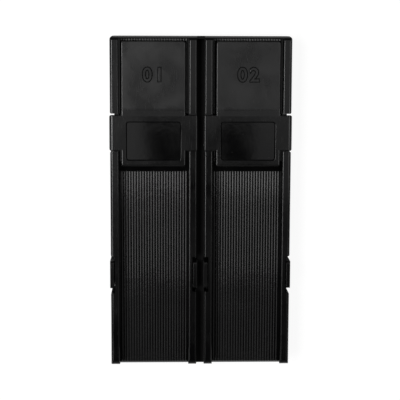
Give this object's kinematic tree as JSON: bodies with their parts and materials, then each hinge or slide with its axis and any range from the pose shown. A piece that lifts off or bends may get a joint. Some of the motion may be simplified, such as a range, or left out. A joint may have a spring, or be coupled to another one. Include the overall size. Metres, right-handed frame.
{
  "type": "reed case",
  "caption": "Flat reed case: a moulded body with ribbed bays on both faces, and clip-on covers whose tongues guard the tips of the reeds.",
  "frame": {"origin": "middle of the back face, on the plane that the case lies on", "axes": "+X across the case to the right, +Y along it towards the tips of the front reeds, +Z out of the front face"},
  "size_m": [0.0448, 0.0826, 0.0096],
  "materials": {
    "body_plastic": "smooth moulded black plastic, glossy",
    "cover_plastic": "smooth moulded black plastic, glossy"
  },
  "bodies": {
    "case": {"case_body": "body_plastic"},
    "front_left": {"front_cover_left": "cover_plastic"},
    "front_right": {"front_cover_right": "cover_plastic"},
    "back_left": {"back_cover_left": "cover_plastic"},
    "back_right": {"back_cover_right": "cover_plastic"}
  },
  "joints": [
    {"name": "front_left_lift", "type": "slide", "parent": "case", "child": "front_left", "axis": [0, 0, 1], "range_m": [0, 0.012]},
    {"name": "front_right_lift", "type": "slide", "parent": "case", "child": "front_right", "axis": [0, 0, 1], "range_m": [0, 0.012]},
    {"name": "back_left_lift", "type": "slide", "parent": "case", "child": "back_left", "axis": [0, 0, -1], "range_m": [0, 0.012]},
    {"name": "back_right_lift", "type": "slide", "parent": "case", "child": "back_right", "axis": [0, 0, -1], "range_m": [0, 0.012]}
  ]
}
